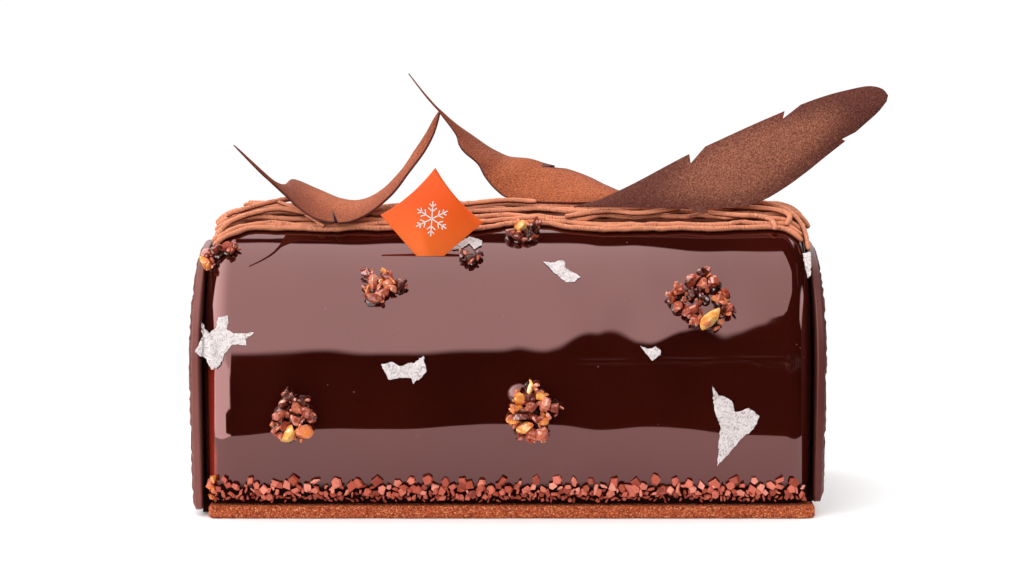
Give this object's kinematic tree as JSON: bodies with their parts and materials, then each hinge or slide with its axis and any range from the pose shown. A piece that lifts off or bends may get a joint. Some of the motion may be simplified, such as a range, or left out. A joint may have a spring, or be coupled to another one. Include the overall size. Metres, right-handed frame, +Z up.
{
  "type": "yule log cake",
  "caption": "Glazed yule log cake on a thin biscuit base, with hewn chocolate end plaques, piped cream strands, chocolate feathers, a square tag and nut clusters.",
  "frame": {"origin": "point in the underside of the biscuit base, below the middle of the log", "axes": "+X along the log to the right seen from the front, -Y to the front, +Z up"},
  "size_m": [0.212, 0.0976, 0.1306],
  "materials": {
    "biscuit": "matte speckled cocoa biscuit",
    "dark_glaze": "mirror-gloss dark chocolate glaze",
    "dark_chocolate": "satin dark chocolate, broken and chipped",
    "chestnut_cream": "soft matte piped cream",
    "dusted_chocolate": "velvety bronze dust over chocolate",
    "bronze_chocolate": "dark bronze dust over chocolate",
    "orange_tag": "satin orange with a thin white line motif",
    "caramel_nuts": "glossy caramelised nibs and golden nuts",
    "cocoa_nibs": "dry broken cocoa nibs",
    "silver_leaf": "crumpled edible silver leaf"
  },
  "bodies": {
    "root": {"biscuit_base": "biscuit", "cake_body": "dark_glaze", "end_plaque_left": "dark_chocolate", "end_plaque_right": "dark_chocolate", "cream_strands": "chestnut_cream", "feather_left": "dusted_chocolate", "feather_middle": "dusted_chocolate", "feather_right": "bronze_chocolate", "tag": "orange_tag", "nut_cluster_1": "caramel_nuts", "nut_cluster_2": "caramel_nuts", "nut_cluster_3": "caramel_nuts", "nut_cluster_4": "caramel_nuts", "nut_cluster_5": "caramel_nuts", "nut_cluster_6": "caramel_nuts", "nut_cluster_7": "caramel_nuts", "nib_border_front": "cocoa_nibs", "nib_border_back": "cocoa_nibs"}
  },
  "joints": []
}
